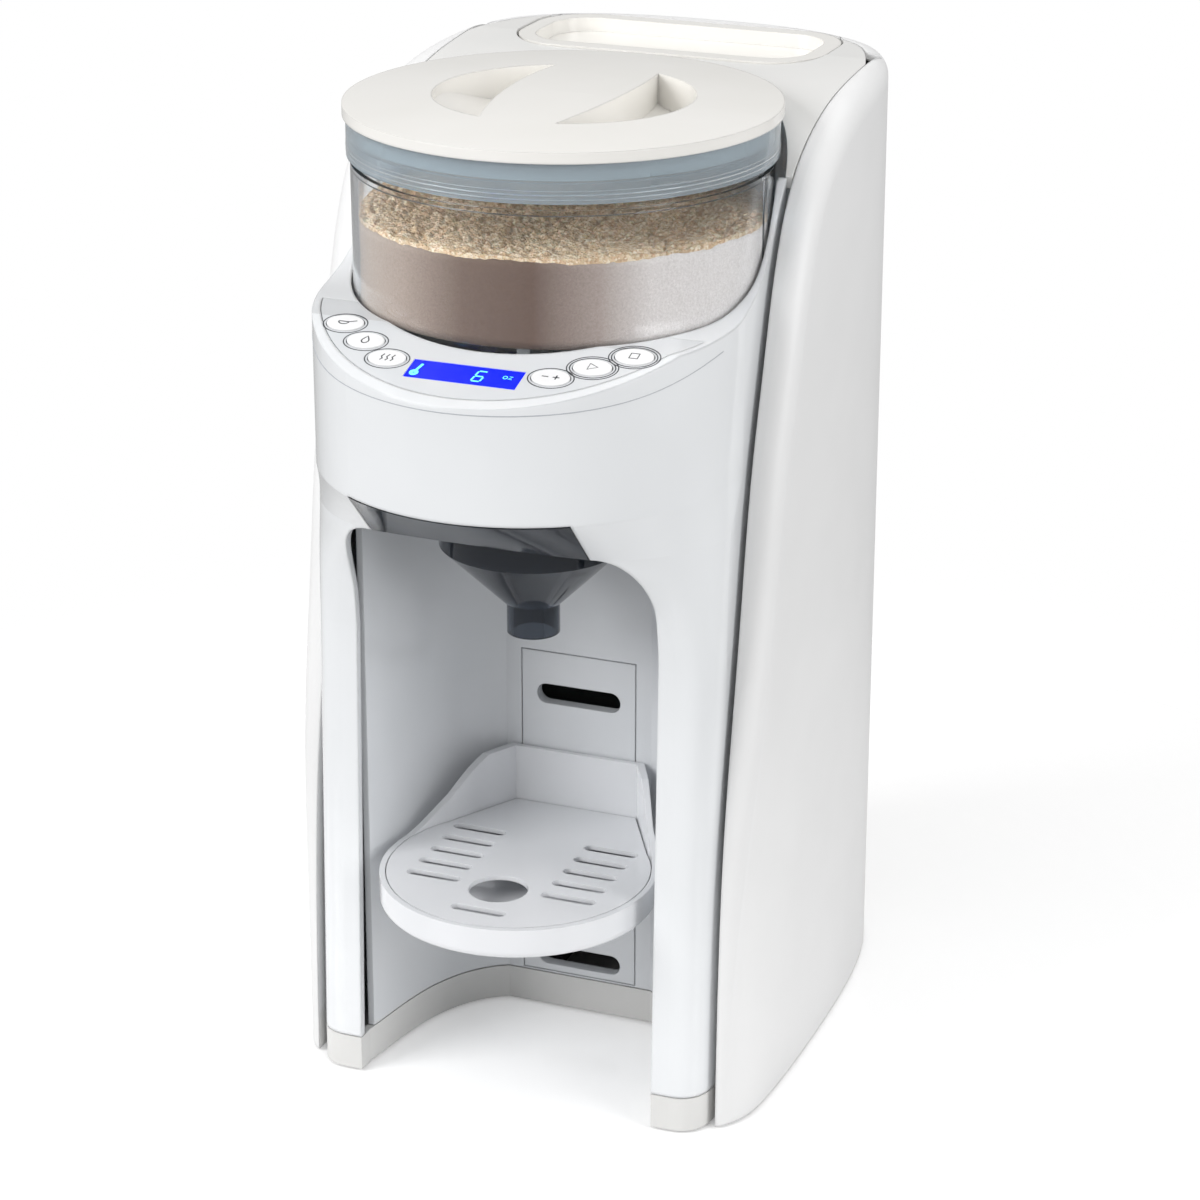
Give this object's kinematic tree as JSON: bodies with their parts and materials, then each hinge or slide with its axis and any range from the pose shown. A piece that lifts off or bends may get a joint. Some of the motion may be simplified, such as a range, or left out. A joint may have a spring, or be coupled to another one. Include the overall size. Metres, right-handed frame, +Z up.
{
  "type": "baby formula maker",
  "caption": "Countertop infant formula maker: overhanging head with sloped keys over a filling bay, clear lidded powder container, pull-out funnel, hook-on drip tray, rear water tank",
  "frame": {"origin": "middle of the footprint on the table", "axes": "+Z up, -Y is the front with the keys and the filling bay, +X is the right side seen from the front"},
  "size_m": [0.1844, 0.2669, 0.3702],
  "materials": {
    "gloss_housing": "smooth high gloss moulding",
    "matte_side_panel": "fine matte moulding",
    "plinth_white": "satin moulding",
    "bay_white": "satin moulding",
    "lid_white": "warm white moulding",
    "panel_white": "smooth sheet",
    "button_white": "smooth key top",
    "tray_white": "smooth moulding",
    "display_glass": "lit display window",
    "display_body": "moulded frame",
    "clear_container": "clear moulded plastic",
    "smoke_collar": "blue grey translucent moulding",
    "smoke_funnel": "dark smoke translucent moulding",
    "powder": "loose granules",
    "wheel_white": "moulded",
    "gear_plastic": "moulded gear plastic",
    "shaft_steel": "ground",
    "motor_steel": "drawn can",
    "frame_grey": "moulded frame",
    "board_green": "circuit board",
    "foot_rubber": "matte rubber",
    "hose_silicone": "silicone hose",
    "inlet_black": "moulded socket"
  },
  "bodies": {
    "base": {"base_plinth": "plinth_white", "rubber_feet": "foot_rubber", "base_screws": "shaft_steel", "front_housing": "gloss_housing", "bay_liner": "bay_white", "tray_slot_panel": "bay_white", "side_panel_right": "matte_side_panel", "side_panel_left": "matte_side_panel", "rear_cover": "matte_side_panel", "inlet_socket": "inlet_black", "top_frame": "plinth_white", "chassis": "frame_grey", "control_panel": "panel_white", "button_board": "board_green", "display_window": "display_glass", "display_module": "display_body", "powder_motor": "motor_steel", "drive_bracket": "frame_grey", "powder_chute": "wheel_white", "tank_seat": "wheel_white", "tank_pads": "foot_rubber", "pump": "frame_grey", "heater": "motor_steel", "suction_tube": "hose_silicone", "pressure_tube": "hose_silicone", "hot_tube": "hose_silicone", "nozzle": "wheel_white", "control_board": "board_green", "board_posts": "frame_grey"},
    "container": {"powder_container": "clear_container", "powder_fill": "powder"},
    "rotor": {"portion_wheel": "wheel_white", "rotor_shaft": "shaft_steel", "stirrer": "wheel_white"},
    "drive_gear": {"drive_gear": "gear_plastic"},
    "idler": {"idler_gear": "gear_plastic"},
    "pinion": {"motor_pinion": "gear_plastic", "motor_shaft": "shaft_steel"},
    "collar": {"lid_collar": "smoke_collar"},
    "lid": {"powder_lid": "lid_white"},
    "funnel": {"funnel": "smoke_funnel"},
    "tray": {"drip_tray": "tray_white"},
    "tray_cover": {"tray_cover": "tray_white"},
    "tank": {"water_tank": "clear_container"},
    "tank_lid": {"tank_lid": "lid_white"},
    "valve": {"tank_valve": "wheel_white"},
    "button_powder": {"button_powder": "button_white"},
    "button_water": {"button_water": "button_white"},
    "button_heat": {"button_heat": "button_white"},
    "button_volume": {"button_volume": "button_white"},
    "button_start": {"button_start": "button_white"},
    "button_stop": {"button_stop": "button_white"}
  },
  "joints": [
    {"name": "container_lift", "type": "slide", "parent": "base", "child": "container", "axis": [0, 0, 1], "range_m": [0, 0.12]},
    {"name": "rotor_spin", "type": "hinge", "parent": "container", "child": "rotor", "pos_m": [0, -0.0244, 0.27], "axis": [0, 0, 1], "continuous": true},
    {"name": "gear_spin", "type": "hinge", "parent": "base", "child": "drive_gear", "pos_m": [0, -0.0244, 0.253], "axis": [0, 0, 1], "continuous": true},
    {"name": "idler_spin", "type": "hinge", "parent": "base", "child": "idler", "pos_m": [-0.00821, -0.00185, 0.253], "axis": [0, 0, 1], "continuous": true},
    {"name": "pinion_spin", "type": "hinge", "parent": "base", "child": "pinion", "pos_m": [-0.01721, 0.01374, 0.253], "axis": [0, 0, 1], "continuous": true},
    {"name": "collar_lift", "type": "slide", "parent": "container", "child": "collar", "axis": [0, 0, 1], "range_m": [0, 0.04]},
    {"name": "lid_turn", "type": "hinge", "parent": "collar", "child": "lid", "pos_m": [0, -0.0244, 0.365], "axis": [0, 0, 1], "range_deg": [0, 15]},
    {"name": "funnel_slide", "type": "slide", "parent": "base", "child": "funnel", "axis": [0, -1, 0], "range_m": [0, 0.11]},
    {"name": "tray_slide", "type": "slide", "parent": "base", "child": "tray", "axis": [0, -1, 0], "range_m": [0, 0.08]},
    {"name": "tray_cover_lift", "type": "slide", "parent": "tray", "child": "tray_cover", "axis": [0, 0, 1], "range_m": [0, 0.03]},
    {"name": "tank_lift", "type": "slide", "parent": "base", "child": "tank", "axis": [0, 0, 1], "range_m": [0, 0.27]},
    {"name": "tank_lid_lift", "type": "slide", "parent": "tank", "child": "tank_lid", "axis": [0, 0, 1], "range_m": [0, 0.04]},
    {"name": "valve_lift", "type": "slide", "parent": "tank", "child": "valve", "axis": [0, 0, 1], "range_m": [0, 0.002], "stiffness_N_per_m": 60, "springref_m": -0.002},
    {"name": "press_powder", "type": "slide", "parent": "base", "child": "button_powder", "axis": [0, 0.2873, -0.9578], "range_m": [0, 0.001], "stiffness_N_per_m": 250, "springref_m": -0.0005},
    {"name": "press_water", "type": "slide", "parent": "base", "child": "button_water", "axis": [0, 0.2873, -0.9578], "range_m": [0, 0.001], "stiffness_N_per_m": 250, "springref_m": -0.0005},
    {"name": "press_heat", "type": "slide", "parent": "base", "child": "button_heat", "axis": [0, 0.2873, -0.9578], "range_m": [0, 0.001], "stiffness_N_per_m": 250, "springref_m": -0.0005},
    {"name": "press_volume", "type": "slide", "parent": "base", "child": "button_volume", "axis": [0, 0.2873, -0.9578], "range_m": [0, 0.001], "stiffness_N_per_m": 250, "springref_m": -0.0005},
    {"name": "press_start", "type": "slide", "parent": "base", "child": "button_start", "axis": [0, 0.2873, -0.9578], "range_m": [0, 0.001], "stiffness_N_per_m": 250, "springref_m": -0.0005},
    {"name": "press_stop", "type": "slide", "parent": "base", "child": "button_stop", "axis": [0, 0.2873, -0.9578], "range_m": [0, 0.001], "stiffness_N_per_m": 250, "springref_m": -0.0005}
  ],
  "couplings": [
    {"joint": "gear_spin", "follows": "rotor_spin", "ratio": 1},
    {"joint": "idler_spin", "follows": "rotor_spin", "ratio": -1},
    {"joint": "pinion_spin", "follows": "rotor_spin", "ratio": 2}
  ]
}
